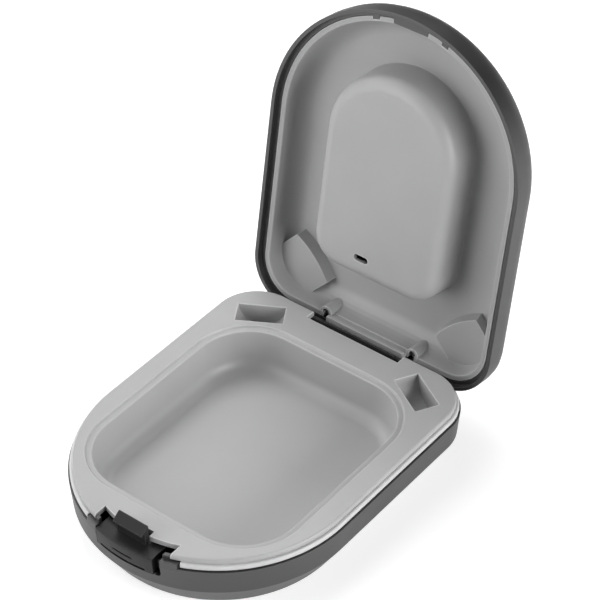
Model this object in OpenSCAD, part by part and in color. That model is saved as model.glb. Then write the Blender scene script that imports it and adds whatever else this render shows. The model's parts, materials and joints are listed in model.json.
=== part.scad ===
// Hard clamshell case for a pair of hearing aids: two moulded shells with pale inner trays,
// joined by a pinned hinge at the back and held shut by a sprung push latch at the front.
// The case stands on its flat underside with the lid leaning open on its stop.
// X runs along the hinge, Y from the latch to the hinge, Z up; the origin is under the middle of the base.

/* [Case] */
// Outer width of both shells
case_w = 75; // [72:1:82]
// Outer length of both shells, latch to hinge
case_l = 95; // [92:1:106]
// Outer radius of the two corners at the hinge
corner_r = 13; // [12:0.5:16]
// Wall of the base shell
wall_t = 1.6; // [1.4:0.1:2]
// Floor of the base shell
floor_t = 1.8; // [1.4:0.1:2.6]

/* [Base shell] */
// Height of the tray's top face above the underside
base_h = 18.5; // [17.5:0.5:23]
// Height of the crease where the side wall turns in under the case
belly_z = 8.2; // [6:0.2:9]
// How far the underside lies inside the outline
belly_in = 5.6; // [4:0.2:6.4]
// How far the crease lies inside the outline
wall_draft = 0.6; // [0.3:0.1:0.9]
// Rounding between the belly and the underside
foot_r = 2; // [1:0.5:3]

/* [Base tray] */
// Thickness of the tray's top plate
plate_t = 1.5; // [1.3:0.1:1.9]
// How far the plate's edge lies inside the outline
plate_in = 1.2; // [1.1:0.1:1.6]
// Wall of the tray's pocket
tray_t = 1.5; // [1.2:0.1:1.8]
// Depth of the pocket below the plate
pocket_d = 12; // [9:0.5:12.5]
// Plate beside the pocket, from the outline
pocket_side = 8.4; // [7.6:0.1:10]
// Plate before the pocket, from the outline
pocket_front = 13.5; // [13.2:0.1:16]
// Plate behind the pocket, from the outline
pocket_back = 14.3; // [13.8:0.1:18]
// Corner radius of the pocket
pocket_r = 15; // [13:0.5:17]
// Fillet round the pocket's floor
pocket_fillet = 3.5; // [2:0.5:4]
// Slope of the pocket's wall, as the run over its whole depth
pocket_draft = 1; // [0.5:0.1:1.5]
// Width of the shallow ledge round the pocket
ledge_w = 1.5; // [1:0.1:2]
// Depth of the ledge below the plate
ledge_d = 0.6; // [0.4:0.1:0.8]

/* [Battery slots] */
// Length of a slot across the corner, and so the width of its round floor
slot_l = 12.6; // [11.5:0.1:13.4]
// Width of a slot
slot_w = 6.6; // [5.8:0.1:7]
// Turn of a slot from the hinge line, in degrees
slot_turn = 30; // [26:1:34]
// Middle of a slot from the side of the outline
slot_side = 12.5; // [12:0.1:13.5]
// Middle of a slot from the back of the outline
slot_back = 10.6; // [10.4:0.1:11.4]

/* [Seal strips] */
// Height of the strip that shows below the plate
seal_h = 1.6; // [1.2:0.1:2]
// How far the strip's face lies inside the outline
seal_in = 0.4; // [0.2:0.1:0.6]
// Gap between the two strips at the latch
seal_gap = 27.2; // [26.6:0.2:32]
// How far round the rear corner a strip runs, in degrees
seal_turn = 57; // [50:1:60]

/* [Lid] */
// Depth of the lid from its lip to its top
lid_h = 11.8; // [11.6:0.2:15]
// Rounding of the lid's shoulder
shoulder_r = 8; // [6:0.5:9]
// Wall of the lid shell
lid_wall = 2.05; // [1.9:0.05:2.3]
// Top of the lid shell
lid_top_t = 1.8; // [1.4:0.1:2.2]
// Width of the lip that meets the seal
lip_w = 1; // [0.7:0.05:1]
// Height of the lip over the land inside it
lip_h = 1.6; // [1.6:0.1:2.2]
// Wall of the lid liner
liner_t = 1.2; // [1:0.1:1.4]
// Width of the liner's flat flange
flange_w = 1.4; // [1.2:0.1:2]
// Fillet inside the lid liner
bowl_r = 5; // [3:0.5:6]
// How far the lid opens, in degrees
open_angle = 99.5; // [95:0.5:105]

/* [Pod in the lid] */
// How far the pod's face stands below the lid's lip
pod_drop = 2; // [0.5:0.5:4]
// Side of the pod from the outline
pod_side = 18.3; // [17:0.1:21]
// Front of the pod from the outline
pod_front = 16.8; // [15.8:0.2:20]
// Back of the pod from the outline
pod_back = 20.5; // [19.5:0.5:24]
// Corner radius at the back of the pod
pod_r = 8; // [6:0.5:12]
// Rounding of the pod's face
pod_edge = 3.5; // [2:0.5:4.5]
// Length of the vent slot in the pod
vent_l = 4.4; // [3:0.2:6]
// Width of the vent slot
vent_w = 1.8; // [1.4:0.2:2.4]
// Vent slot from the middle of the case, to the left
vent_x = 3.2; // [0:0.2:6]
// Vent slot from the back of the pod
vent_back = 6; // [5:0.2:9]

/* [Battery keepers in the lid] */
// Length of a keeper along its crest
keeper_l = 15; // [12:0.5:16]
// Turn of the crest from the hinge line, in degrees
keeper_turn = 42; // [38:1:46]
// Middle of the crest from the side and from the back of the outline
keeper_in = 14.5; // [14:0.1:15.5]
// Depth of the crest above the lid's lip
keeper_d = 5.6; // [4:0.2:6]
// Fall of the keeper's face towards the corner, per mm
keeper_fall = 0.06; // [0:0.02:0.1]
// Radius of the keeper's bowed front
keeper_r = 24; // [18:1:40]

/* [Hinge] */
// Hinge line in front of the outline's back
hinge_in = 1.7; // [1.5:0.1:2]
// Hinge line below the lid's lip
hinge_drop = 2.8; // [2.6:0.1:3.2]
// Diameter of the hinge pin
pin_d = 2; // [1.6:0.1:2.2]
// Radius of the knuckles
knuckle_r = 2.2; // [2:0.05:2.3]
// Half the length of the lid's knuckle
barrel_half = 11.5; // [9:0.5:12]
// Half the width of the hinge well
well_half = 14.6; // [14.4:0.1:16]
// Front of the hinge well from the outline's back
well_in = 4.4; // [4.2:0.1:5]
// Wall of the hinge well
well_t = 1.2; // [1:0.1:1.6]

/* [Latch] */
// Width of the push button
button_w = 17.2; // [15:0.2:18]
// Height of the button's ledge below the plate
ledge_drop = 2.1; // [1.9:0.1:2.6]
// Height of the button's face
button_h = 5; // [4.6:0.1:5.4]
// Back of the button from the front of the outline
button_back = 5.1; // [4.9:0.1:5.4]
// Width of the relief slot to the right of the button
relief_w = 2; // [1.6:0.1:2.2]
// Width of the hook
hook_w = 8.9; // [7:0.1:9.2]
// Height of the hook above the plate
hook_h = 3.2; // [3:0.1:3.5]
// Thickness of the hook's stem
hook_t = 1.2; // [1:0.1:1.4]
// Reach of the hook's nose in front of its stem
nose_l = 1.3; // [1.1:0.1:1.4]
// Inward travel of the button
latch_travel = 1.6; // [1.4:0.1:1.7]
// Length of the slit under the button's face
slit_l = 13.9; // [10:0.1:15]
// Width of the notch in the plate round the latch
notch_w = 22.6; // [22.4:0.2:24]
// Middle of the notch to the right of the button's middle
notch_off = 1.1; // [0.9:0.1:1.3]
// Bowed back of the notch from the front of the outline
notch_in = 4.75; // [4.6:0.05:4.9]
// Thickness of the catch in the lid
catch_t = 0.85; // [0.7:0.05:0.9]

/* [Latch springs] */
// Outer diameter of a spring
spring_d = 3.8; // [3.4:0.1:4.1]
// Diameter of the spring wire
wire_d = 0.5; // [0.4:0.05:0.55]
// Turns of a spring
spring_turns = 5; // [4:0.5:5]
// Middle of a spring from the middle of the case
spring_x = 5.5; // [4.6:0.1:6]

/* [Fits] */
// Gap between the closed lid's lip and the seal
seam_gap = 0.15; // [0.1:0.05:0.3]
// Running gap round the button and between moving faces
run_gap = 0.2; // [0.15:0.05:0.3]
// Radial clearance of the pin in the lid's knuckle
pin_gap = 0.05; // [0.02:0.01:0.1]
// Seat clearance between pieces that stay put
seat_gap = 0.05; // [0.02:0.01:0.1]

/* [Hidden] */
$fn = 96;
arc_steps = 6;
eps = 0.01;
over = 1;
edge_r = 0.3;

half_w = case_w / 2;
y_back = case_l / 2;
y_front = -case_l / 2;
front_c = y_front + half_w;
back_c = y_back - corner_r;

rim_z = base_h - plate_t - seal_h;
seal_top = base_h - plate_t;
lip_z = seal_top + seam_gap;
land_z = lip_z + lip_h;
lid_top = lip_z + lid_h;
roof_z = lid_top - lid_top_t;
ceiling_z = roof_z - liner_t;
flange_out = lid_wall + 0.15;
flange_in = flange_out + flange_w;
flange_t = 1.3;
liner_lean = 0.6;

pocket_half = half_w - pocket_side;
pocket_y0 = y_front + pocket_front;
pocket_y1 = y_back - pocket_back;
pocket_z = base_h - pocket_d;

pod_half = half_w - pod_side;
pod_y0 = y_front + pod_front;
pod_y1 = y_back - pod_back;
pod_z = lip_z - pod_drop;

hinge_y = y_back - hinge_in;
hinge_z = lip_z - hinge_drop;
stop_z = hinge_z - hinge_in * tan(open_angle / 2) - seat_gap;
well_y = y_back - well_in;
well_floor = 1.4;
well_z = hinge_z - knuckle_r - well_floor - run_gap;
arm_t = 2.3;
lug_half = barrel_half + run_gap;

ledge_z = base_h - ledge_drop;
button_z = ledge_z - button_h;
window_z = button_z - run_gap;
button_y = y_front + button_back;
face_draft = wall_draft * (rim_z - button_z) / (rim_z - belly_z);
nose_z = land_z + catch_t + run_gap;
nose_y = button_y - hook_t - nose_l;
catch_lap = 0.7;
catch_y = button_y - hook_t - run_gap;
catch_half = hook_w / 2 + catch_lap;
hook_top = base_h + hook_h;
notch_left = notch_off - notch_w / 2;
notch_right = notch_off + notch_w / 2;
notch_r = half_w - notch_in;

spring_z = button_z + 0.42 * button_h;
pad_t = 0.5;
spring_seat = pocket_y0 - tray_t - pad_t;
spigot_l = 1.2;
spigot_r = spring_d / 2 - wire_d - run_gap;
seal_rear = half_w - corner_r + corner_r * cos(seal_turn);

shell_colour = "#47474a";
tray_colour = "#b4b4b4";
seal_colour = "#d8d8d8";
steel_colour = "#9a9a9c";

// Unit vector along v
function unit(v) = v / norm(v);

// Points that round the corner b, between its neighbours a and c, with radius r
function corner_arc(a, b, c, r) =
    r == 0 ? [b] :
    let (
        u = unit(a - b),
        w = unit(c - b),
        half = acos(u * w) / 2,
        middle = b + unit(u + w) * r / sin(half),
        first = b + u * r / tan(half) - middle,
        last = b + w * r / tan(half) - middle,
        start = atan2(first.y, first.x),
        swing = atan2(last.y, last.x) - start,
        turn = swing > 180 ? swing - 360 : swing < -180 ? swing + 360 : swing
    )
    [for (i = [0:arc_steps])
        let (angle = start + turn * i / arc_steps)
        middle + r * [cos(angle), sin(angle)]];

// Closed path of [x, z, radius] corners with each corner rounded
function rounded(path) =
    let (n = len(path), flat = [for (p = path) [p.x, p.y]])
    [for (i = [0:n - 1]) each corner_arc(flat[(i + n - 1) % n], flat[i], flat[(i + 1) % n], path[i].z)];

// Sweeps a section round one end of a tray outline; $reach is the section's distance to the outline
module round_end(half, r) {
    if (half > r)
        translate([r - half, 0, 0]) rotate([90, 0, 90]) linear_extrude(2 * (half - r))
            let ($reach = r) children();
    for (side = [0, 1])
        mirror([side, 0, 0]) translate([half - r, 0, 0]) rotate_extrude(angle = 90)
            let ($reach = r) children();
}

// Sweeps a section, drawn from a middle line out to $reach, into a tray with rounded corners
module tray_form(half, front, back, front_r, back_r) {
    for (side = [0, 1])
        mirror([side, 0, 0]) translate([0, back - back_r, 0]) rotate([90, 0, 0])
            linear_extrude(back - back_r - front - front_r) let ($reach = half) children();
    translate([0, back - back_r, 0]) round_end(half, back_r) children();
    translate([0, front + front_r, 0]) mirror([0, 1, 0]) round_end(half, front_r) children();
}

// The outline of both shells: half round at the latch, two corners at the hinge
module case_form() {
    tray_form(half_w, y_front, y_back, half_w, corner_r) children();
}

// Cuboid between two corners
module span(low, high) {
    translate(low) cube(high - low);
}

// Sweeps a section round the middle of the front, where the latch is
module front_arc() {
    translate([0, front_c, 0]) rotate_extrude(angle = 60, start = 240) children();
}

// Swings the closed lid open about the hinge line
module opened() {
    translate([0, hinge_y, hinge_z]) rotate([-open_angle, 0, 0])
        translate([0, -hinge_y, -hinge_z]) children();
}

// Rod along the hinge line
module hinge_rod(r, x0, x1) {
    translate([x0, hinge_y, hinge_z]) rotate([0, 90, 0]) cylinder(r = r, h = x1 - x0);
}

// Section of the base shell: drafted wall, turned-in belly and flat floor
module base_section() {
    slope = (belly_in - wall_draft) / belly_z;
    skin = wall_t * sqrt(1 + slope * slope);
    polygon(rounded([
        [0, 0, 0],
        [$reach - belly_in, 0, foot_r],
        [$reach - wall_draft, belly_z, edge_r],
        [$reach, rim_z, 0],
        [$reach - wall_t, rim_z, 0],
        [$reach - wall_draft - wall_t, belly_z, edge_r],
        [$reach - belly_in + slope * floor_t - skin, floor_t, edge_r],
        [0, floor_t, 0]]));
}

// Walls beside the button: a cheek between the seal's ends and a taller tongue in the plate's notch
module latch_cheeks() {
    cheek_z = seal_top - run_gap;
    cheek_half = seal_gap / 2 - seat_gap;
    tongue_z = base_h - ledge_drop / 4;
    tongue_in = lip_w + run_gap;
    root_z = rim_z - over;
    intersection() {
        front_arc() translate([half_w - wall_t, root_z]) square([wall_t, cheek_z - root_z]);
        span([notch_off - cheek_half, y_front - over, 0], [notch_off + cheek_half, 0, base_h]);
    }
    intersection() {
        front_arc() translate([half_w - tongue_in - lip_w, rim_z]) square([lip_w, tongue_z - rim_z]);
        span([notch_left + run_gap, y_front - over, 0], [notch_right - run_gap, 0, base_h]);
    }
}

// Shelf inside the front wall that carries the button
module latch_shelf() {
    reach = half_w - wall_t / 2;
    shelf_t = 1.4;
    shelf_half = seal_gap / 2 - over;
    intersection() {
        translate([0, front_c, window_z - shelf_t]) cylinder(r = reach - wall_draft, h = shelf_t);
        span([-shelf_half, y_front, 0], [shelf_half, button_y + spigot_l, base_h]);
    }
}

// Walls and floor of the well behind the tray in which the hinge turns, with the two end lugs
module hinge_well() {
    wall_y = y_back - wall_t / 2 - wall_draft;
    span([-well_half - well_t, well_y - well_t, well_z - well_floor], [well_half + well_t, wall_y, well_z]);
    span([-well_half - well_t, well_y - well_t, well_z - eps],
        [well_half + well_t, well_y, seal_top - run_gap]);
    for (side = [0, 1]) mirror([side, 0, 0]) {
        span([well_half, well_y - eps, well_z - eps], [well_half + well_t, wall_y, rim_z]);
        span([lug_half, well_y - eps, well_z - eps], [well_half + eps, wall_y, hinge_z]);
        hinge_rod(knuckle_r, lug_half, well_half + eps);
    }
}

module base_shell() {
    pin_end = well_half + well_t + over;
    window_half = button_w / 2 + run_gap;
    window_back = button_y + latch_travel + run_gap;
    relief_r = relief_w / 2;
    relief_x = button_w / 2 + relief_r;
    color(shell_colour) difference() {
        union() {
            case_form() base_section();
            hinge_well();
            latch_shelf();
            latch_cheeks();
        }
        span([-lug_half, well_y, stop_z], [lug_half, y_back + over, base_h]);
        hinge_rod(knuckle_r + run_gap, -lug_half, lug_half);
        hinge_rod(pin_d / 2 + seat_gap / 2, -well_half, pin_end);
        span([-window_half, y_front - over, window_z], [window_half, window_back, base_h]);
        translate([relief_x, button_y, window_z + relief_r]) rotate([90, 0, 0])
            cylinder(r = relief_r, h = button_back + over);
        span([relief_x - relief_r, y_front - over, window_z + relief_r],
            [relief_x + relief_r, button_y, base_h]);
    }
}

// Section of the tray's plate
module plate_section() {
    polygon(rounded([
        [0, seal_top, 0],
        [$reach - plate_in, seal_top, edge_r],
        [$reach - plate_in, base_h, 2 * edge_r],
        [0, base_h, 0]]));
}

// Section of the pocket's outside
module tub_section() {
    polygon(rounded([
        [0, pocket_z - tray_t, 0],
        [$reach + tray_t - pocket_draft, pocket_z - tray_t, pocket_fillet + tray_t],
        [$reach + tray_t, seal_top + eps, 0],
        [0, seal_top + eps, 0]]));
}

// Section of the pocket's hollow, with the ledge round its mouth
module pocket_section() {
    polygon(rounded([
        [0, pocket_z, 0],
        [$reach - pocket_draft, pocket_z, pocket_fillet],
        [$reach, base_h - ledge_d, edge_r],
        [$reach + ledge_w, base_h - ledge_d, edge_r],
        [$reach + ledge_w + edge_r, base_h, 0],
        [$reach + ledge_w + edge_r, base_h + over, 0],
        [0, base_h + over, 0]]));
}

// Places a shape across both rear corners, at the battery slots
module at_slots() {
    for (side = [0, 1])
        mirror([side, 0, 0]) translate([half_w - slot_side, y_back - slot_back, base_h])
            rotate([90, 0, -slot_turn]) children();
}

// Notch in the plate round the latch, with room behind the hook for its travel
module latch_notch() {
    hook_half = hook_w / 2 + run_gap;
    hook_back = button_y + latch_travel + run_gap;
    difference() {
        span([notch_left, y_front - over, seal_top - over], [notch_right, 0, base_h + over]);
        translate([0, front_c, 0]) cylinder(r = notch_r, h = base_h + 2 * over);
    }
    span([-hook_half, y_front - over, seal_top - over], [hook_half, hook_back, base_h + over]);
}

module base_tray() {
    cup_d = slot_l + 2 * tray_t;
    cup_w = slot_w + 2 * tray_t;
    pad = spring_d / 2 + pad_t;
    color(tray_colour) difference() {
        union() {
            case_form() plate_section();
            tray_form(pocket_half, pocket_y0, pocket_y1, pocket_r, pocket_r) tub_section();
            intersection() {
                at_slots() cylinder(d = cup_d, h = cup_w, center = true);
                span([-half_w, 0, 0], [half_w, y_back, seal_top + eps]);
            }
            for (x = [-spring_x, spring_x]) {
                span([x - pad, spring_seat, spring_z - pad],
                    [x + pad, pocket_y0 - tray_t / 2, spring_z + pad]);
                translate([x, spring_seat + eps, spring_z]) rotate([90, 0, 0])
                    cylinder(r = spigot_r, h = spigot_l);
            }
        }
        tray_form(pocket_half, pocket_y0, pocket_y1, pocket_r, pocket_r) pocket_section();
        at_slots() cylinder(d = slot_l, h = slot_w, center = true);
        span([-well_half, well_y, seal_top - over], [well_half, y_back + over, base_h + over]);
        latch_notch();
    }
}

// Section of a seal strip, with the skirt that hangs inside the shell's rim
module seal_section() {
    skirt_h = 1.2;
    skirt_t = 0.7;
    skirt_in = wall_t + wall_draft * skirt_h / (rim_z - belly_z) + seat_gap;
    polygon(rounded([
        [$reach - seal_in, rim_z, edge_r],
        [$reach - seal_in, seal_top, 2 * edge_r],
        [$reach - skirt_in - skirt_t, seal_top, 0],
        [$reach - skirt_in - skirt_t, rim_z - skirt_h, 0],
        [$reach - skirt_in, rim_z - skirt_h, 0],
        [$reach - skirt_in, rim_z, 0]]));
}

// Strip from the latch, where it ends at front_x, round the side to the rear corner
module seal_strip(front_x) {
    color(seal_colour) intersection() {
        case_form() seal_section();
        union() {
            span([front_x, y_front - over, 0], [half_w + over, eps, base_h]);
            span([seal_rear, 0, 0], [half_w + over, y_back, base_h]);
        }
    }
}

module seal_left() {
    mirror([1, 0, 0]) seal_strip(seal_gap / 2 - notch_off);
}

module seal_right() {
    seal_strip(seal_gap / 2 + notch_off);
}

// Hook of the latch: upright stem with a sloped nose that points out of the case
module latch_hook() {
    translate([-hook_w / 2, 0, 0]) rotate([90, 0, 90]) linear_extrude(hook_w)
        polygon([
            [button_y, ledge_z - over],
            [button_y - hook_t, ledge_z - over],
            [button_y - hook_t, nose_z],
            [nose_y, nose_z],
            [nose_y, nose_z + edge_r],
            [button_y - edge_r, hook_top],
            [button_y, hook_top]]);
}

// Solid of the button between its face and its flat back
module button_block() {
    intersection() {
        front_arc()
            polygon(rounded([
                [half_w - face_draft, button_z, 0],
                [half_w, rim_z, 0],
                [half_w, ledge_z, edge_r],
                [half_w - button_back - 2 * over, ledge_z, 0],
                [half_w - button_back - 2 * over, button_z, 0]]));
        span([-button_w / 2, y_front - over, 0], [button_w / 2, button_y, base_h]);
    }
}

// Ledge that runs back from the button over its springs and under the plate
module button_roof() {
    roof_t = 0.6;
    roof_in = notch_r - 1.5;
    intersection() {
        front_arc() translate([roof_in, ledge_z - roof_t]) square([half_w - wall_t - roof_in, roof_t]);
        span([-button_w / 2, y_front, 0], [button_w / 2, 0, base_h]);
    }
}

// Wings that hold the button behind the shell's wall
module button_wings() {
    wing_in = wall_t + run_gap;
    wing_t = 1;
    wing_lap = 1.6;
    wing_left = button_w / 2 + wing_lap;
    wing_right = wing_left + relief_w;
    wing_h = rim_z - 0.5 - button_z;
    intersection() {
        front_arc() translate([half_w - wing_in - wing_t - face_draft, button_z]) square([wing_t, wing_h]);
        span([-wing_left, y_front - over, 0], [wing_right, button_y, base_h]);
    }
}

module latch_button() {
    groove_r = 11;
    groove_d = 0.8;
    groove_h = 0.7;
    groove_z = button_z + 0.48 * button_h;
    slit_h = 0.25;
    slit_d = 2;
    slit_mid = -0.5;
    color(shell_colour) difference() {
        union() {
            button_block();
            button_roof();
            button_wings();
            latch_hook();
            for (x = [-spring_x, spring_x])
                translate([x, button_y - eps, spring_z]) rotate([-90, 0, 0])
                    cylinder(r = spigot_r, h = spigot_l);
        }
        translate([0, y_front - groove_r + groove_d, groove_z])
            cylinder(r = groove_r, h = groove_h, center = true);
        span([slit_mid - slit_l / 2, y_front - over, 0],
            [slit_mid + slit_l / 2, y_front + slit_d, button_z + slit_h]);
    }
}

// Coil spring between the button and its seat on the tray, one unbroken tube along a helix
module coil_spring() {
    sides = 6;
    rings_per_turn = 10;
    rings = rings_per_turn * spring_turns;
    wire_r = wire_d / 2;
    coil_r = spring_d / 2 - wire_r;
    length = spring_seat - button_y - wire_d;
    points = [for (i = [0:rings], k = [0:sides - 1])
        let (
            turn = 360 * i / rings_per_turn,
            around = 360 * k / sides,
            r = coil_r + wire_r * cos(around)
        )
        [r * cos(turn), wire_r + length * i / rings + wire_r * sin(around), r * sin(turn)]];
    walls = [for (i = [0:rings - 1], k = [0:sides - 1])
        let (
            a = i * sides + k,
            b = i * sides + (k + 1) % sides
        )
        each [[a, b, a + sides], [b, b + sides, a + sides]]];
    last = rings * sides;
    caps = [for (k = [1:sides - 2]) each [[0, k + 1, k], [last, last + k, last + k + 1]]];
    color(steel_colour) polyhedron(points, concat(walls, caps));
}

module latch_spring_left() {
    translate([-spring_x, button_y, spring_z]) coil_spring();
}

module latch_spring_right() {
    translate([spring_x, button_y, spring_z]) coil_spring();
}

module hinge_pin() {
    color(steel_colour) hinge_rod(pin_d / 2, -well_half + run_gap, well_half);
}

// Section of the lid shell: lip, land, wall, shoulder and flat top
module lid_section() {
    polygon(rounded([
        [$reach, lip_z, 0],
        [$reach, lid_top, shoulder_r],
        [0, lid_top, 0],
        [0, roof_z, 0],
        [$reach - lid_wall, roof_z, shoulder_r - lid_wall],
        [$reach - lid_wall, land_z, 0],
        [$reach - lip_w, land_z, 0],
        [$reach - lip_w, lip_z, 0]]));
}

// The two tabs let into the liner's flange, grown by a fit all round
module lid_tabs(fit) {
    tab_x = 9.2;
    tab_w = 1.9;
    tab_t = 0.65;
    tab_in = flange_out + 0.8;
    intersection() {
        front_arc() translate([half_w - tab_in - fit, land_z - seat_gap - fit])
            square([tab_in - lip_w + fit, tab_t + 2 * fit]);
        for (side = [0, 1]) mirror([side, 0, 0])
            span([tab_x - fit, y_front, 0], [tab_x + tab_w + fit, 0, lid_top]);
    }
}

// Catch under the hook's nose
module lid_catch() {
    intersection() {
        span([-catch_half, y_front, land_z], [catch_half, catch_y, land_z + catch_t]);
        translate([0, front_c, 0]) cylinder(r = half_w - lip_w, h = lid_top);
    }
}

module lid_shell() {
    color(shell_colour) opened() difference() {
        union() {
            case_form() lid_section();
            lid_catch();
            lid_tabs(0);
            hinge_rod(knuckle_r, -barrel_half, barrel_half);
            span([-barrel_half, y_back - arm_t, hinge_z], [barrel_half, y_back, land_z + catch_t]);
        }
        hinge_rod(pin_d / 2 + pin_gap, -barrel_half - over, barrel_half + over);
    }
}

// Section of the lid liner: flange, bowl wall and ceiling
module liner_section() {
    polygon(rounded([
        [0, ceiling_z, 0],
        [$reach - flange_in - liner_lean, ceiling_z, bowl_r],
        [$reach - flange_in, land_z, edge_r],
        [$reach - flange_out, land_z, 0],
        [$reach - flange_out, land_z + flange_t, 0],
        [$reach - flange_in + liner_t, land_z + flange_t, 0],
        [$reach - flange_in + liner_t - liner_lean, roof_z, bowl_r + liner_t],
        [0, roof_z, 0]]));
}

// Section that fills the liner and most of its wall
module liner_core_section() {
    inner = 0.8 * liner_t;
    core_z = land_z - run_gap / 2;
    core_top = ceiling_z + inner;
    polygon(rounded([
        [0, core_z, 0],
        [$reach - flange_in + inner, core_z, 0],
        [$reach - flange_in + inner - liner_lean, core_top, bowl_r + inner],
        [0, core_top, 0]]));
}

// Section of the pod, flared where it joins the ceiling
module pod_section() {
    root_z = ceiling_z + 0.15;
    root_t = 0.5;
    draft = 0.4;
    flare = 0.5;
    skirt = flare + 1.4;
    polygon(rounded([
        [0, pod_z, 0],
        [$reach, pod_z, pod_edge],
        [$reach + draft, root_z, flare],
        [$reach + skirt, root_z, 0],
        [$reach + skirt, root_z + root_t, 0],
        [0, root_z + root_t, 0]]));
}

// Section of the hollow behind the pod
module pod_hollow_section() {
    polygon(rounded([
        [0, pod_z + liner_t, 0],
        [$reach - liner_t, pod_z + liner_t, pod_edge - liner_t],
        [$reach - liner_t, roof_z + over, 0],
        [0, roof_z + over, 0]]));
}

// Slot with round ends in the pod's face
module vent_outline() {
    end_r = vent_w / 2 - eps;
    polygon(rounded([
        [-vent_l / 2, -vent_w / 2, end_r],
        [vent_l / 2, -vent_w / 2, end_r],
        [vent_l / 2, vent_w / 2, end_r],
        [-vent_l / 2, vent_w / 2, end_r]]));
}

// Block with a bowed front in a rear corner of the lid, over a battery slot
module keeper() {
    crest_z = lip_z + keeper_d;
    reach = 12;
    middle = sqrt(keeper_r * keeper_r - keeper_l * keeper_l / 4);
    front_lean = 1;
    translate([half_w - keeper_in, y_back - keeper_in, 0]) rotate([0, 0, 90 - keeper_turn]) intersection() {
        rotate([90, 0, 0]) linear_extrude(keeper_l, center = true)
            polygon([
                [-reach, crest_z - keeper_fall * reach],
                [reach, crest_z + keeper_fall * reach],
                [reach, roof_z],
                [-reach, roof_z]]);
        translate([middle, 0, crest_z - over])
            cylinder(r1 = keeper_r - front_lean / 4, r2 = keeper_r + front_lean,
                h = roof_z - crest_z + over);
    }
}

// Round ear beside the hinge panel, its end an arch that opens into the hinge well
module ear() {
    ear_r = 1.8;
    ear_x = barrel_half + 2.4;
    ear_y = y_back - flange_in - 0.1;
    bore_r = 1.1;
    bore_z = land_z + 2.4;
    translate([ear_x, ear_y, 0]) difference() {
        cylinder(r = ear_r, h = roof_z);
        cylinder(r = bore_r, h = bore_z);
        span([-bore_r, 0, 0], [bore_r, 2 * ear_r, bore_z]);
    }
}

// Shelf between the ears, with a raised lip over the hinge well
module hinge_panel() {
    panel_half = barrel_half + 0.8;
    panel_y = well_y + 1.5 * run_gap;
    panel_t = 1.5;
    panel_z = lip_z - 0.35;
    panel_top = land_z + 3;
    lip_t = 0.8;
    sink = 0.7;
    span([-panel_half, panel_y, panel_z], [panel_half, panel_y + panel_t, panel_z + lip_t]);
    span([-panel_half, panel_y + sink, panel_z], [panel_half, panel_y + panel_t, panel_top]);
}

module lid_liner() {
    hook_room = 0.6;
    vent_y = pod_y1 - vent_back;
    flange_y = y_back - flange_in - liner_t / 4;
    color(tray_colour) opened() difference() {
        union() {
            difference() {
                union() {
                    case_form() liner_section();
                    tray_form(pod_half, pod_y0, pod_y1, pod_half, pod_r) pod_section();
                }
                tray_form(pod_half, pod_y0, pod_y1, pod_half, pod_r) pod_hollow_section();
                span([-well_half, flange_y, land_z - over], [well_half, y_back, land_z + flange_t + eps]);
            }
            intersection() {
                for (side = [0, 1]) mirror([side, 0, 0]) {
                    keeper();
                    ear();
                }
                case_form() liner_core_section();
            }
            hinge_panel();
        }
        lid_tabs(seat_gap);
        span([-catch_half, y_front, land_z - over],
            [catch_half, button_y + hook_room, hook_top + hook_room]);
        translate([-vent_x, vent_y, pod_z - over]) linear_extrude(liner_t + 2 * over) vent_outline();
    }
}

base_shell();
base_tray();
seal_left();
seal_right();
latch_button();
latch_spring_left();
latch_spring_right();
hinge_pin();
lid_shell();
lid_liner();
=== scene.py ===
import json
import math
import bmesh
import bpy
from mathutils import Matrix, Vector


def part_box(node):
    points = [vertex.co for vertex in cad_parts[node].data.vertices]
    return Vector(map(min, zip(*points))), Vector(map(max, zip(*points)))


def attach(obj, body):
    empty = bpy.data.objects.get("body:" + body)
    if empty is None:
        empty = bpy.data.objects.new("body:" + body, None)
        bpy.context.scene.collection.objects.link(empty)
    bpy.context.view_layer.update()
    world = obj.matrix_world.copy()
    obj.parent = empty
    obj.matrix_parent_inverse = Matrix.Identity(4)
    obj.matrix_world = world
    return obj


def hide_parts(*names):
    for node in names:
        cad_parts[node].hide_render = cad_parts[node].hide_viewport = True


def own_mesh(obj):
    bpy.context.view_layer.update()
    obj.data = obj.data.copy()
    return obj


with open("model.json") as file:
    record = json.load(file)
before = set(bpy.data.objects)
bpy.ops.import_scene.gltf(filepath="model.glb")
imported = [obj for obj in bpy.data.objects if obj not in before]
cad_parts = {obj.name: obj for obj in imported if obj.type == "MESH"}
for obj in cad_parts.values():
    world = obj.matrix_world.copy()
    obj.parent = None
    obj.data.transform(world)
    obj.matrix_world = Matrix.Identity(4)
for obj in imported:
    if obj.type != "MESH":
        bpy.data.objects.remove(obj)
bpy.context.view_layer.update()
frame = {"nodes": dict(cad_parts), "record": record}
mm = 0.001  # sizes below are in millimetres, unless a note says otherwise
weldDistance = 2e-6  # metres
print("frame loaded:", len(frame["nodes"]), "nodes")


# shared shader helpers
def newMaterial(name):
    mat = bpy.data.materials.new(name)
    mat.use_nodes = True
    tree = mat.node_tree
    tree.nodes.clear()
    out = tree.nodes.new("ShaderNodeOutputMaterial")
    shader = tree.nodes.new("ShaderNodeBsdfPrincipled")
    tree.links.new(shader.outputs["BSDF"], out.inputs["Surface"])
    return mat, tree, shader


noiseLow, noiseHigh = 0.3, 0.7  # between these lies most of what the noise gives


def noise(tree, coords, scale, detail):
    node = tree.nodes.new("ShaderNodeTexNoise")
    node.inputs["Scale"].default_value = scale
    node.inputs["Detail"].default_value = detail
    node.inputs["Roughness"].default_value = 0.5
    tree.links.new(coords, node.inputs["Vector"])
    return node.outputs["Fac"]


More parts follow.
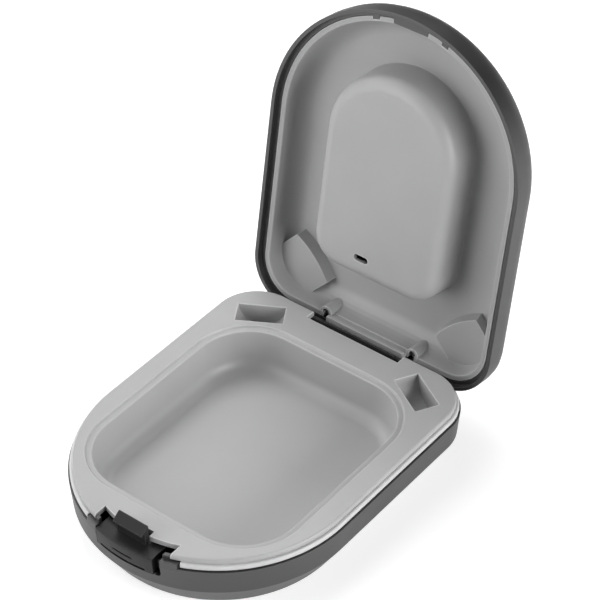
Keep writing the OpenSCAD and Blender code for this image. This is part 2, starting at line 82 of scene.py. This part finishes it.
def remap(tree, value, low, high, newLow, newHigh):
    node = tree.nodes.new("ShaderNodeMapRange")
    node.inputs["From Min"].default_value = low
    node.inputs["From Max"].default_value = high
    node.inputs["To Min"].default_value = newLow
    node.inputs["To Max"].default_value = newHigh
    tree.links.new(value, node.inputs["Value"])
    return node.outputs["Result"]


# the mix node's colour sockets share their names with others, so they go by number
colourA, colourB, colourResult = 6, 7, 2


def mixColour(tree, factor, first, second):
    node = tree.nodes.new("ShaderNodeMix")
    node.data_type = "RGBA"
    tree.links.new(factor, node.inputs["Factor"])
    for socket, value in ((node.inputs[colourA], first), (node.inputs[colourB], second)):
        if isinstance(value, tuple):
            socket.default_value = (*value, 1)
        else:
            tree.links.new(value, socket)
    return node.outputs[colourResult]


def grey(value):
    return (value, value, value * 1.005)


# painted shade: near the hinge axis, in the hollow round the barrels, the gloss is turned down so that they look
# dark
def paintWellShade(tree, coords, look, shader):
    well = look["well"]
    across = tree.nodes.new("ShaderNodeVectorMath")
    across.operation = "MULTIPLY"
    across.inputs[1].default_value = (well["along"], 1.0, 1.0)
    tree.links.new(coords, across.inputs[0])
    reach = tree.nodes.new("ShaderNodeVectorMath")
    reach.operation = "DISTANCE"
    reach.inputs[1].default_value = (0.0, well["y"] * mm, well["z"] * mm)
    tree.links.new(across.outputs["Vector"], reach.inputs[0])
    wellShadeIor = remap(tree, reach.outputs["Value"], well["near"] * mm, well["far"] * mm, well["ior"], look["ior"])
    tree.links.new(wellShadeIor, shader.inputs["IOR"])


# the look into the wall falls from 1 towards an outer edge: where the paler edge (part scuffing, part painted
# highlight) begins, and where it is full
wearAndHighlightBegins, wearAndHighlightFull = 0.95, 0.55


# moulded plastic: spark-eroded grain, faint flow mottling, softly broken edges painted paler, partly as scuffing
# and partly as a painted highlight
def mouldedPlastic(name, look):
    mat, tree, shader = newMaterial(name)
    coords = tree.nodes.new("ShaderNodeTexCoord").outputs["Object"]
    mottle = noise(tree, coords, look["mottleScale"], detail=4.0)
    grain = noise(tree, coords, look["grainScale"], detail=2.0)
    broken = tree.nodes.new("ShaderNodeBevel")
    broken.samples = 6
    broken.inputs["Radius"].default_value = look["edgeRadius"] * mm
    edges = tree.nodes.new("ShaderNodeAmbientOcclusion")
    edges.inside = True  # looks into the wall, so that outer edges alone show
    edges.only_local = True
    edges.samples = 8
    edges.inputs["Distance"].default_value = look["wearAndHighlightReach"] * mm
    wornAndHighlit = remap(tree, edges.outputs["AO"], wearAndHighlightBegins, wearAndHighlightFull, 0.0, look["wearAndHighlight"])
    tone = remap(tree, mottle, noiseLow, noiseHigh, 0.0, 1.0)
    base = mixColour(tree, tone, grey(look["dark"]), grey(look["light"]))
    # outer edges mixed towards a paler grey: scuffing and a painted highlight
    tree.links.new(mixColour(tree, wornAndHighlit, base, grey(look["rubbedAndHighlit"])), shader.inputs["Base Color"])
    rough = remap(tree, mottle, noiseLow, noiseHigh, look["roughLow"], look["roughHigh"])
    tree.links.new(rough, shader.inputs["Roughness"])
    bump = tree.nodes.new("ShaderNodeBump")
    bump.inputs["Strength"].default_value = look["bump"]
    bump.inputs["Distance"].default_value = look["grainDepth"] * mm
    tree.links.new(grain, bump.inputs["Height"])
    tree.links.new(broken.outputs["Normal"], bump.inputs["Normal"])
    tree.links.new(bump.outputs["Normal"], shader.inputs["Normal"])
    shader.inputs["IOR"].default_value = look["ior"]
    if "well" in look:
        paintWellShade(tree, coords, look, shader)
    return mat


# each look's paler edge tone and its amount paint outer edges lighter: partly scuffing, partly a painted highlight
shellLook = {
    "dark": 0.012, "light": 0.016, "rubbedAndHighlit": 0.04, "wearAndHighlight": 0.7, "wearAndHighlightReach": 0.3, "edgeRadius": 0.2,
    "mottleScale": 90.0, "grainScale": 5200.0, "grainDepth": 0.03, "bump": 0.3,
    "roughLow": 0.46, "roughHigh": 0.54, "ior": 1.74,
    # painted shade round the hinge barrels: lower gloss from near to far off the hinge axis
    "well": {"y": 45.0, "z": 15.15, "along": 0.08, "near": 1.75, "far": 2.1, "ior": 1.15},
}
trayLook = {
    "dark": 0.385, "light": 0.41, "rubbedAndHighlit": 0.62, "wearAndHighlight": 1.0, "wearAndHighlightReach": 0.4, "edgeRadius": 0.25,
    "mottleScale": 60.0, "grainScale": 4200.0, "grainDepth": 0.03, "bump": 0.22,
    "roughLow": 0.4, "roughHigh": 0.48, "ior": 1.58,
}
sealLook = {
    "dark": 0.585, "light": 0.63, "rubbedAndHighlit": 0.7, "wearAndHighlight": 0.3, "wearAndHighlightReach": 0.2, "edgeRadius": 0.2,
    "mottleScale": 120.0, "grainScale": 6000.0, "grainDepth": 0.02, "bump": 0.15,
    "roughLow": 0.38, "roughHigh": 0.46, "ior": 1.45,
}
latchLook = {
    "dark": 0.016, "light": 0.02, "rubbedAndHighlit": 0.06, "wearAndHighlight": 0.8, "wearAndHighlightReach": 0.3, "edgeRadius": 0.25,
    "mottleScale": 140.0, "grainScale": 5600.0, "grainDepth": 0.02, "bump": 0.25,
    "roughLow": 0.42, "roughHigh": 0.5, "ior": 1.3,
}


# drawn steel for the pin and the springs
def drawnSteel(name, look):
    mat, tree, shader = newMaterial(name)
    coords = tree.nodes.new("ShaderNodeTexCoord").outputs["Object"]
    streaks = tree.nodes.new("ShaderNodeMapping")
    streaks.inputs["Scale"].default_value = (1.0, look["stretch"], look["stretch"])
    tree.links.new(coords, streaks.inputs["Vector"])
    lines = noise(tree, streaks.outputs["Vector"], look["scale"], detail=5.0)
    tone = remap(tree, lines, noiseLow, noiseHigh, 0.0, 1.0)
    tree.links.new(mixColour(tree, tone, grey(look["dark"]), grey(look["light"])), shader.inputs["Base Color"])
    rough = remap(tree, lines, noiseLow, noiseHigh, look["roughLow"], look["roughHigh"])
    tree.links.new(rough, shader.inputs["Roughness"])
    shader.inputs["Metallic"].default_value = 1.0
    return mat


steelLook = {"dark": 0.42, "light": 0.56, "stretch": 12.0, "scale": 300.0, "roughLow": 0.25, "roughHigh": 0.42}

finishes = {
    "shell": mouldedPlastic("satinCharcoal", shellLook),
    "tray": mouldedPlastic("satinPaleGrey", trayLook),
    "seal": mouldedPlastic("softPaleGrey", sealLook),
    "latch": mouldedPlastic("latchCharcoal", latchLook),
    "steel": drawnSteel("drawnSteel", steelLook),
}
print("finishes made:", len(finishes))

bodyOf = {node: body for body, nodes in frame["record"]["behaviour"]["bodies"].items() for node in nodes}
slotOf = {part["node"]: part["material_slot"] for part in frame["record"]["subparts"]}


# a finished piece stands for its solid, rides on its body and takes its finish
def dress(piece, node):
    piece.data.materials.clear()
    piece.data.materials.append(finishes[slotOf[node]])
    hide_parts(node)
    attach(piece, bodyOf[node])


# flat walls stay flat and rounds stay round: hard edges by angle, normals weighted by face area
def shadeMoulding(piece, hardAngle):
    form = bmesh.new()
    form.from_mesh(piece.data)
    bmesh.ops.remove_doubles(form, verts=form.verts, dist=weldDistance)
    for edge in form.edges:
        edge.smooth = edge.calc_face_angle(0.0) < math.radians(hardAngle)
    for face in form.faces:
        face.smooth = True
    form.to_mesh(piece.data)
    form.free()
    weighted = piece.modifiers.new("faceWeighted", "WEIGHTED_NORMAL")
    weighted.mode = "FACE_AREA"
    weighted.weight = 100
    weighted.keep_sharp = True


# the finger slit under the button, opened upwards from its roof
fingerSlit = {"node": "latch_button", "roof": 11.65, "within": 0.01, "lift": 0.4}


def openSlit(piece):
    for vertex in piece.data.vertices:
        if abs(vertex.co.z / mm - fingerSlit["roof"]) < fingerSlit["within"]:
            vertex.co.z += fingerSlit["lift"] * mm


# angles in degrees
mouldings = {
    "base_shell": {"hardAngle": 32},
    "base_tray": {"hardAngle": 32},
    "latch_button": {"hardAngle": 30},
    "lid_shell": {"hardAngle": 32},
    "lid_liner": {"hardAngle": 32},
}
for node, moulding in mouldings.items():
    piece = bpy.data.objects.new(node.replace("_", "-") + "-moulding", frame["nodes"][node].data.copy())
    bpy.context.scene.collection.objects.link(piece)
    if node == fingerSlit["node"]:
        openSlit(piece)
    shadeMoulding(piece, moulding["hardAngle"])
    dress(piece, node)
print("mouldings dressed:", len(mouldings))


# geometry node helpers
def newTree(name, inputs):
    tree = bpy.data.node_groups.new(name, "GeometryNodeTree")
    tree.interface.new_socket("Geometry", in_out="INPUT", socket_type="NodeSocketGeometry")
    keys = {}
    for label, kind in inputs.items():
        keys[label] = tree.interface.new_socket(label, in_out="INPUT", socket_type=kind).identifier
    tree.interface.new_socket("Geometry", in_out="OUTPUT", socket_type="NodeSocketGeometry")
    return tree, tree.nodes.new("NodeGroupInput"), tree.nodes.new("NodeGroupOutput"), keys


def endTree(tree, source, given, last):
    smooth = tree.nodes.new("GeometryNodeSetShadeSmooth")
    realize = tree.nodes.new("GeometryNodeRealizeInstances")
    finish = tree.nodes.new("GeometryNodeSetMaterial")
    tree.links.new(source, smooth.inputs["Geometry"])
    tree.links.new(smooth.outputs["Geometry"], realize.inputs["Geometry"])
    tree.links.new(realize.outputs["Geometry"], finish.inputs["Geometry"])
    tree.links.new(given.outputs["Finish"], finish.inputs["Material"])
    tree.links.new(finish.outputs["Geometry"], last.inputs["Geometry"])


# runs a tree on a guide mesh and keeps the result as a plain mesh
def grown(name, guide, tree, keys, values):
    source = bpy.data.objects.new(name + "-guide", guide)
    bpy.context.scene.collection.objects.link(source)
    modifier = source.modifiers.new("grow", "NODES")
    modifier.node_group = tree
    for label, value in values.items():
        modifier[keys[label]] = value
    evaluated = source.evaluated_get(bpy.context.evaluated_depsgraph_get())
    mesh = bpy.data.meshes.new_from_object(evaluated)
    source.modifiers.remove(modifier)
    bpy.data.objects.remove(source)
    mesh.name = name
    piece = bpy.data.objects.new(name, mesh)
    bpy.context.scene.collection.objects.link(piece)
    return piece


# rim seal: a rounded bead on a thin neck, swept round the rim from the latch to the rear corner
seal = {
    "halfWidth": 37.5, "frontMiddle": -10.0, "rearMiddle": 34.5, "cornerRadius": 13.0, "rearTurn": 57.0,
    "leftEnd": 12.5, "rightEnd": 14.7, "step": 2.5, "frontSteps": 60, "rearSteps": 24,
    "beadIn": 0.4, "beadWidth": 2.0, "beadLow": 15.5, "beadHigh": 17.0, "beadRound": 0.52, "roundSteps": 5,
    "neckIn": 1.75, "neckWidth": 0.65, "neckLow": 14.2, "neckOverlap": 0.2, "hardAngle": 32,
}


def sealTree():
    tree, given, last, keys = newTree("sweptSeal", {
        "Bead Width": "NodeSocketFloat", "Bead Height": "NodeSocketFloat", "Bead Round": "NodeSocketFloat",
        "Neck Width": "NodeSocketFloat", "Neck Height": "NodeSocketFloat", "Neck Shift": "NodeSocketVector",
        "Finish": "NodeSocketMaterial"})
    path = tree.nodes.new("GeometryNodeMeshToCurve")
    upright = tree.nodes.new("GeometryNodeSetCurveNormal")
    upright.mode = "Z_UP"
    tree.links.new(given.outputs["Geometry"], path.inputs["Mesh"])
    tree.links.new(path.outputs["Curve"], upright.inputs["Curve"])
    join = tree.nodes.new("GeometryNodeJoinGeometry")
    for part in ("Bead", "Neck"):
        section = tree.nodes.new("GeometryNodeCurvePrimitiveQuadrilateral")
        tree.links.new(given.outputs[part + " Width"], section.inputs["Width"])
        tree.links.new(given.outputs[part + " Height"], section.inputs["Height"])
        shaped = section.outputs["Curve"]
        if part == "Bead":
            fillet = tree.nodes.new("GeometryNodeFilletCurve")
            fillet.mode = "POLY"
            fillet.inputs["Count"].default_value = seal["roundSteps"]
            tree.links.new(given.outputs["Bead Round"], fillet.inputs["Radius"])
            tree.links.new(shaped, fillet.inputs["Curve"])
            shaped = fillet.outputs["Curve"]
        else:
            shift = tree.nodes.new("GeometryNodeTransform")
            tree.links.new(given.outputs["Neck Shift"], shift.inputs["Translation"])
            tree.links.new(shaped, shift.inputs["Geometry"])
            shaped = shift.outputs["Geometry"]
        sweep = tree.nodes.new("GeometryNodeCurveToMesh")
        sweep.inputs["Fill Caps"].default_value = True
        tree.links.new(upright.outputs["Curve"], sweep.inputs["Curve"])
        tree.links.new(shaped, sweep.inputs["Profile Curve"])
        tree.links.new(sweep.outputs["Mesh"], join.inputs["Geometry"])
    endTree(tree, join.outputs["Geometry"], given, last)
    return tree, keys


# guide for one strip: front arc from the latch, straight side, part of the rear corner
def sealGuide(name, side, frontEnd):
    inset = seal["beadIn"] + seal["beadWidth"] / 2
    height = (seal["beadLow"] + seal["beadHigh"]) / 2
    front = seal["halfWidth"] - inset
    rear = seal["cornerRadius"] - inset
    start = math.degrees(math.asin(frontEnd / front))
    points = []
    for i in range(seal["frontSteps"] + 1):
        a = math.radians(start + (90 - start) * i / seal["frontSteps"])
        points.append((front * math.sin(a), seal["frontMiddle"] - front * math.cos(a)))
    run = seal["rearMiddle"] - seal["frontMiddle"]
    steps = round(run / seal["step"])
    points += [(front, seal["frontMiddle"] + run * i / steps) for i in range(1, steps)]
    for i in range(seal["rearSteps"] + 1):
        a = math.radians(seal["rearTurn"] * i / seal["rearSteps"])
        points.append((seal["halfWidth"] - seal["cornerRadius"] + rear * math.cos(a),
                       seal["rearMiddle"] + rear * math.sin(a)))
    guide = bpy.data.meshes.new(name + "-path")
    guide.from_pydata([(side * x * mm, y * mm, height * mm) for x, y in points],
                      [(i, i + 1) for i in range(len(points) - 1)], [])
    return guide


# welds a swept piece and turns all its faces outwards
def outwards(piece):
    form = bmesh.new()
    form.from_mesh(piece.data)
    bmesh.ops.remove_doubles(form, verts=form.verts, dist=weldDistance)
    bmesh.ops.recalc_face_normals(form, faces=form.faces)
    form.to_mesh(piece.data)
    form.free()


beadHeight = seal["beadHigh"] - seal["beadLow"]
neckHeight = seal["beadLow"] + seal["neckOverlap"] - seal["neckLow"]
neckIn = seal["neckIn"] + seal["neckWidth"] / 2 - seal["beadIn"] - seal["beadWidth"] / 2
neckDrop = seal["neckLow"] + neckHeight / 2 - (seal["beadLow"] + seal["beadHigh"]) / 2
stripTree, stripKeys = sealTree()
for node, side, frontEnd in (("seal_left", -1, seal["leftEnd"]), ("seal_right", 1, seal["rightEnd"])):
    name = node.replace("_", "-") + "-strip"
    strip = grown(name, sealGuide(name, side, frontEnd), stripTree, stripKeys, {
        "Bead Width": seal["beadWidth"] * mm, "Bead Height": beadHeight * mm, "Bead Round": seal["beadRound"] * mm,
        "Neck Width": seal["neckWidth"] * mm, "Neck Height": neckHeight * mm,
        "Neck Shift": (-side * neckIn * mm, -neckDrop * mm, 0.0), "Finish": finishes["seal"]})
    outwards(strip)
    shadeMoulding(strip, seal["hardAngle"])
    dress(strip, node)
    low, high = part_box(node)
    print(name, "faces:", len(strip.data.polygons), "height of its solid in mm:", round((high[2] - low[2]) / mm, 2))


# latch springs: round wire wound on a helix
coil = {
    "turns": 5.0, "coilRadius": 1.65, "wireRadius": 0.25, "front": -42.4, "seat": -36.0, "apart": 5.5,
    "height": 13.5, "travel": 1.6, "wireSides": 12, "stepsPerTurn": 32,
}


def coilTree():
    tree, given, last, keys = newTree("woundSpring", {
        "Turns": "NodeSocketFloat", "Coil Radius": "NodeSocketFloat", "Wire Radius": "NodeSocketFloat",
        "Length": "NodeSocketFloat", "Place": "NodeSocketVector", "Finish": "NodeSocketMaterial"})
    helix = tree.nodes.new("GeometryNodeCurveSpiral")
    helix.inputs["Resolution"].default_value = coil["stepsPerTurn"]
    tree.links.new(given.outputs["Turns"], helix.inputs["Rotations"])
    tree.links.new(given.outputs["Coil Radius"], helix.inputs["Start Radius"])
    tree.links.new(given.outputs["Coil Radius"], helix.inputs["End Radius"])
    tree.links.new(given.outputs["Length"], helix.inputs["Height"])
    laid = tree.nodes.new("GeometryNodeTransform")
    laid.inputs["Rotation"].default_value = (math.radians(-90), 0, 0)
    tree.links.new(helix.outputs["Curve"], laid.inputs["Geometry"])
    tree.links.new(given.outputs["Place"], laid.inputs["Translation"])
    wire = tree.nodes.new("GeometryNodeCurvePrimitiveCircle")
    wire.inputs["Resolution"].default_value = coil["wireSides"]
    tree.links.new(given.outputs["Wire Radius"], wire.inputs["Radius"])
    sweep = tree.nodes.new("GeometryNodeCurveToMesh")
    sweep.inputs["Fill Caps"].default_value = True
    tree.links.new(laid.outputs["Geometry"], sweep.inputs["Curve"])
    tree.links.new(wire.outputs["Curve"], sweep.inputs["Profile Curve"])
    endTree(tree, sweep.outputs["Mesh"], given, last)
    return tree, keys


woundTree, woundKeys = coilTree()
length = coil["seat"] - coil["front"]
for node, side in (("latch_spring_left", -1), ("latch_spring_right", 1)):
    name = node.replace("_", "-") + "-coil"
    place = (side * coil["apart"] * mm, (coil["front"] + coil["wireRadius"]) * mm, coil["height"] * mm)
    spring = grown(name, bpy.data.meshes.new(name + "-start"), woundTree, woundKeys, {
        "Turns": coil["turns"], "Coil Radius": coil["coilRadius"] * mm, "Wire Radius": coil["wireRadius"] * mm,
        "Length": (length - 2 * coil["wireRadius"]) * mm, "Place": place, "Finish": finishes["steel"]})
    outwards(spring)
    dress(spring, node)
    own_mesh(spring)
pin = frame["nodes"]["hinge_pin"].data
pin.materials.clear()
pin.materials.append(finishes["steel"])
print("seals swept, springs wound")


# studio: pale floor, soft light low from the right and the front left, white surroundings under a dark ceiling
# lengths here and in the lamps and the camera are in metres
studio = {
    "floorHalf": 1.2, "floorTone": 0.62, "floorRough": 0.9, "floorLift": 0.64,
    "ambient": 0.02, "horizon": 1.0, "ceiling": 0.05, "ceilingFrom": -0.3, "ceilingTo": 0.15,
}
lampAim = (0.0, 0.02, 0.04)
lamps = {
    "right": {"at": (0.965, 0.03, 0.3), "size": 0.7, "power": 10.6},
    "frontLeft": {"at": (-0.53, -0.81, 0.21), "size": 0.8, "power": 5.9},
    "frontLeftHigh": {"at": (-0.5, -0.48, 0.74), "size": 0.7, "power": 2.0},
    "backLeft": {"at": (-0.36, 0.42, 0.86), "size": 0.7, "power": 5.1},
    "left": {"at": (-0.8, -0.08, 0.59), "size": 0.7, "power": 3.2},
}


def combine(tree, operation, first, second):
    node = tree.nodes.new("ShaderNodeMath")
    node.operation = operation
    for socket, value in zip(node.inputs, (first, second)):
        if isinstance(value, float):
            socket.default_value = value
        else:
            tree.links.new(value, socket)
    return node.outputs["Value"]


# rays that show the surroundings themselves: straight to the eye, and in gloss or through glass
def seenRays(tree):
    path = tree.nodes.new("ShaderNodeLightPath")
    return path.outputs["Is Camera Ray"], combine(tree, "MAXIMUM", path.outputs["Is Glossy Ray"],
                                                  path.outputs["Is Transmission Ray"])


def addFloor():
    half = studio["floorHalf"]
    mesh = bpy.data.meshes.new("floor")
    mesh.from_pydata([(-half, -half, 0), (half, -half, 0), (half, half, 0), (-half, half, 0)], [], [(0, 1, 2, 3)])
    floor = bpy.data.objects.new("floor", mesh)
    bpy.context.scene.collection.objects.link(floor)
    mat, tree, shader = newMaterial("paleFloor")
    shader.inputs["Base Color"].default_value = (*grey(studio["floorTone"]), 1)
    shader.inputs["Roughness"].default_value = studio["floorRough"]
    shader.inputs["Emission Color"].default_value = (1, 1, 1, 1)
    seen = combine(tree, "MAXIMUM", *seenRays(tree))
    tree.links.new(combine(tree, "MULTIPLY", seen, studio["floorLift"]), shader.inputs["Emission Strength"])
    mesh.materials.append(mat)


def addSky():
    world = bpy.data.worlds.new("whiteSurround")
    bpy.context.scene.world = world
    world.use_nodes = True
    tree = world.node_tree
    background = tree.nodes["Background"]
    background.inputs["Color"].default_value = (1, 1, 1, 1)
    direct, gloss = seenRays(tree)
    upward = tree.nodes.new("ShaderNodeSeparateXYZ")
    tree.links.new(tree.nodes.new("ShaderNodeTexCoord").outputs["Generated"], upward.inputs["Vector"])
    fade = remap(tree, upward.outputs["Z"], studio["ceilingFrom"], studio["ceilingTo"],
                 studio["horizon"], studio["ceiling"])
    shown = combine(tree, "MAXIMUM", direct, combine(tree, "MULTIPLY", gloss, fade))
    tree.links.new(combine(tree, "MAXIMUM", shown, studio["ambient"]), background.inputs["Strength"])


def addLamp(name, lamp):
    light = bpy.data.lights.new(name, "AREA")
    light.shape = "DISK"
    light.size = lamp["size"]
    light.energy = lamp["power"]
    obj = bpy.data.objects.new(name, light)
    obj.location = lamp["at"]
    obj.rotation_mode = "QUATERNION"
    obj.rotation_quaternion = (Vector(lampAim) - Vector(lamp["at"])).to_track_quat("-Z", "Y")
    bpy.context.scene.collection.objects.link(obj)


# camera at the photograph's angle: a long lens, looking down across the open case
viewpoint = {
    "azimuth": 37.741, "elevation": 39.917, "target": (0.01047, 0.00786, 0.0605), "distance": 0.560784,
    "lens": 143.11, "sensor": 36.0, "clipNear": 0.05, "clipFar": 20.0,
}


def addCamera():
    a = math.radians(viewpoint["azimuth"])
    e = math.radians(viewpoint["elevation"])
    back = Vector((math.sin(a) * math.cos(e), -math.cos(a) * math.cos(e), math.sin(e)))
    data = bpy.data.cameras.new("camera")
    data.lens = viewpoint["lens"]
    data.sensor_width = viewpoint["sensor"]
    data.clip_start = viewpoint["clipNear"]
    data.clip_end = viewpoint["clipFar"]
    camera = bpy.data.objects.new("camera", data)
    camera.location = Vector(viewpoint["target"]) + back * viewpoint["distance"]
    camera.rotation_mode = "QUATERNION"
    camera.rotation_quaternion = (-back).to_track_quat("-Z", "Y")
    bpy.context.scene.collection.objects.link(camera)
    bpy.context.scene.camera = camera


addFloor()
addSky()
for name, lamp in lamps.items():
    addLamp(name, lamp)
addCamera()
bpy.context.scene.view_settings.view_transform = "Standard"
print("studio set")
